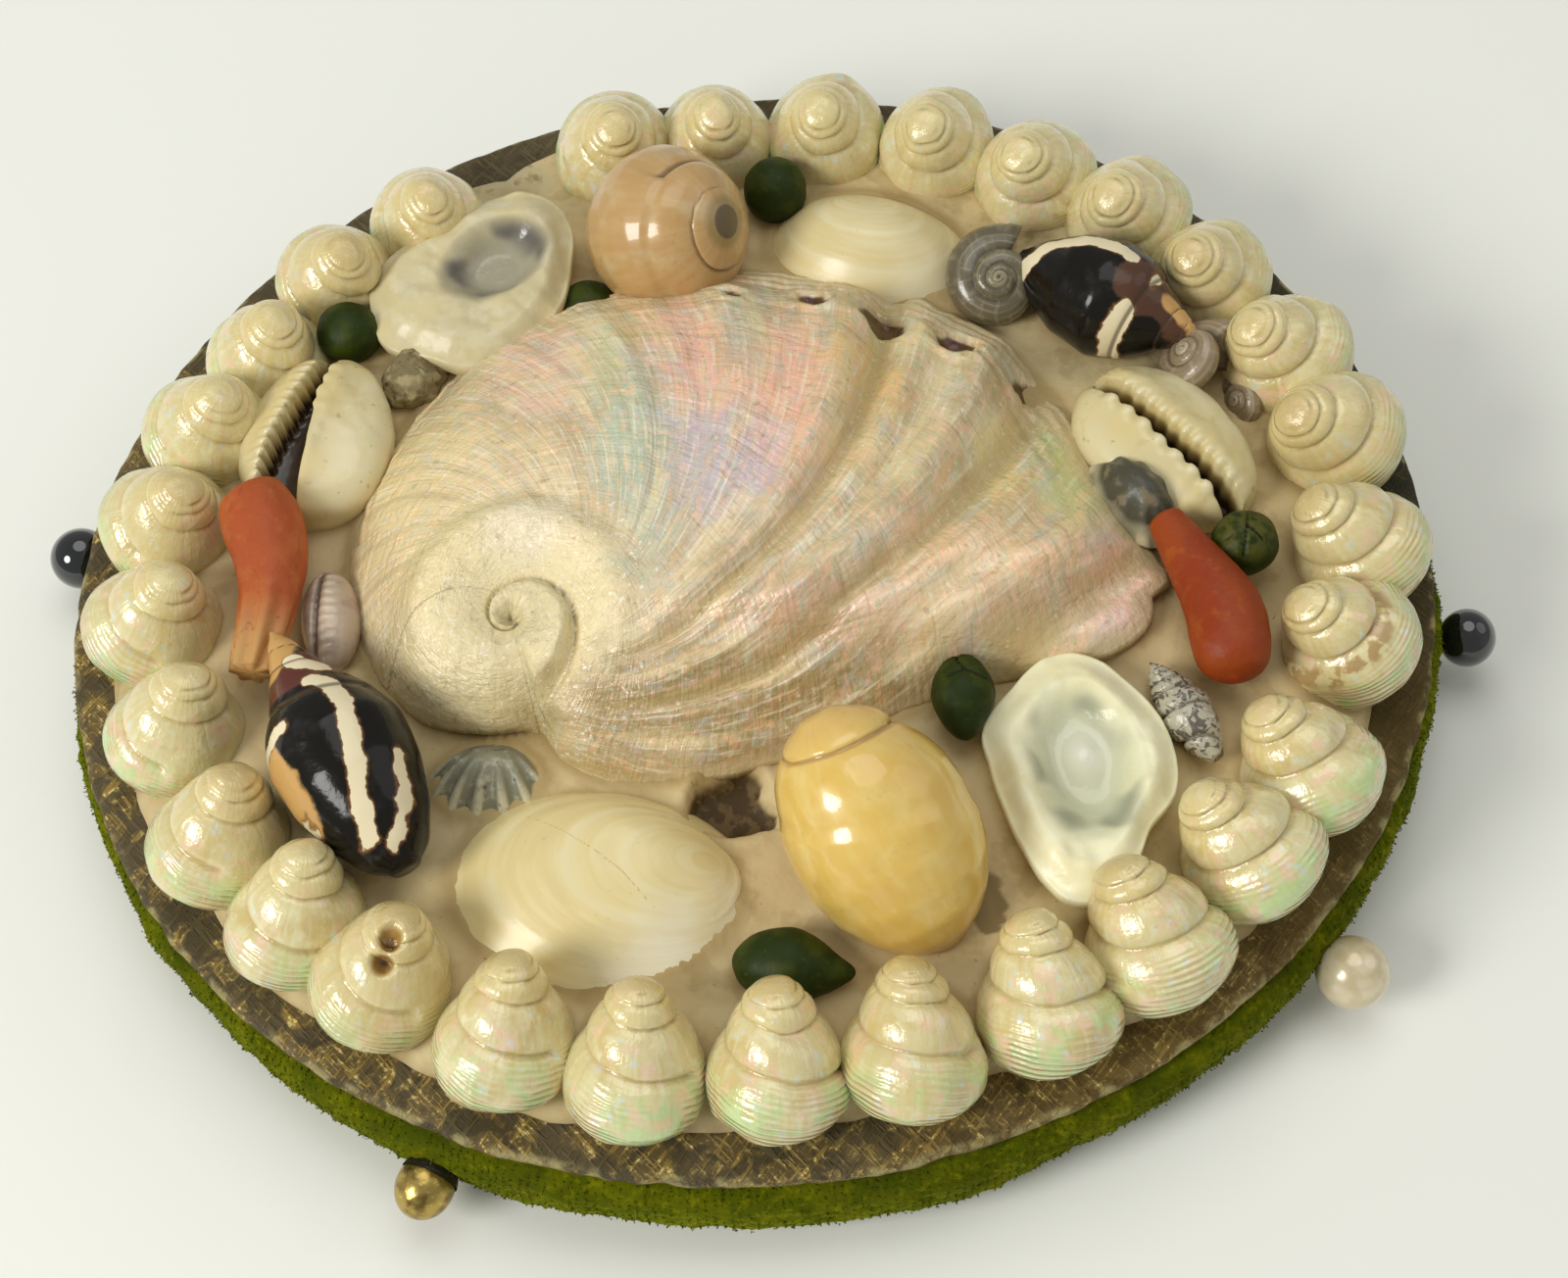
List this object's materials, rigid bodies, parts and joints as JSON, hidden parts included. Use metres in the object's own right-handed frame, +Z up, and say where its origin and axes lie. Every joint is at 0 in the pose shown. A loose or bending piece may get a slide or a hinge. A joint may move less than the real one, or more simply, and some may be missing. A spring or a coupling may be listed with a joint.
{
  "type": "shell pin cushion",
  "caption": "Oval velvet pin cushion under a cloth-covered board set with shells, coral and seeds in plaster, with pins in its side.",
  "frame": {"origin": "middle of the velvet pad's flat underside, on the surface it stands on", "axes": "+Z up through the pad; +X along the oval's long side; the front, nearest the viewer in the picture, is -Y"},
  "size_m": [0.1298, 0.1146, 0.0287],
  "materials": {
    "velvet": "cut-pile cotton velvet",
    "brocade": "worn metallic brocade over card",
    "plaster": "cream plaster, matt, with hairline cracks and stains",
    "pearl_shell": "pearly top shells, satin to glossy",
    "nacre_shell": "polished abalone, satin with pink and green nacre",
    "cowrie_shell": "glossy cream cowrie",
    "small_cowrie_shell": "glossy pinkish grey shell",
    "coral": "dry orange-red coral",
    "green_seed": "dark green dyed seed",
    "yellow_shell": "polished yellow periwinkle",
    "tan_shell": "satin tan periwinkle",
    "limpet_shell": "cream limpet with grey-green glossy hollow",
    "clam_shell": "satin cream clam valve",
    "striped_shell": "polished black shell with cream bands",
    "grey_shell": "grey and speckled small shells, satin",
    "brown_shell": "brown translucent small snail",
    "black_glass": "black glass bead, mirror gloss",
    "pearl_bead": "imitation pearl bead",
    "brass": "brass bead with dark patina"
  },
  "bodies": {
    "root": {"velvet_cushion": "velvet", "top_board": "brocade", "plaster_bed": "plaster", "ring_shell_01": "pearl_shell", "ring_shell_02": "pearl_shell", "ring_shell_03": "pearl_shell", "ring_shell_04": "pearl_shell", "ring_shell_05": "pearl_shell", "ring_shell_06": "pearl_shell", "ring_shell_07": "pearl_shell", "ring_shell_08": "pearl_shell", "ring_shell_09": "pearl_shell", "ring_shell_10": "pearl_shell", "ring_shell_11": "pearl_shell", "ring_shell_12": "pearl_shell", "ring_shell_13": "pearl_shell", "ring_shell_14": "pearl_shell", "ring_shell_15": "pearl_shell", "ring_shell_16": "pearl_shell", "ring_shell_17": "pearl_shell", "ring_shell_18": "pearl_shell", "ring_shell_19": "pearl_shell", "ring_shell_20": "pearl_shell", "ring_shell_21": "pearl_shell", "ring_shell_22": "pearl_shell", "ring_shell_23": "pearl_shell", "ring_shell_24": "pearl_shell", "ring_shell_25": "pearl_shell", "ring_shell_26": "pearl_shell", "ring_shell_27": "pearl_shell", "ring_shell_28": "pearl_shell", "ring_shell_29": "pearl_shell", "abalone_shell": "nacre_shell", "cowrie_left": "cowrie_shell", "cowrie_right": "cowrie_shell", "small_cowrie": "small_cowrie_shell", "coral_left": "coral", "coral_right": "coral", "seed_left": "green_seed", "seed_back": "green_seed", "seed_right": "green_seed", "seed_middle": "green_seed", "seed_front": "green_seed", "periwinkle_yellow": "yellow_shell", "periwinkle_tan": "tan_shell", "limpet_front": "limpet_shell", "limpet_back": "limpet_shell", "clam_front": "clam_shell", "clam_back": "clam_shell", "striped_shell_front": "striped_shell", "striped_shell_back": "striped_shell", "grey_top_shell": "grey_shell", "speckled_shell": "grey_shell", "dark_limpet": "grey_shell", "grey_ribbed_shell": "grey_shell", "brown_snail": "brown_shell", "pin_black_left": "black_glass", "pin_black_right": "black_glass", "pin_pearl": "pearl_bead", "pin_brass": "brass"}
  },
  "joints": []
}
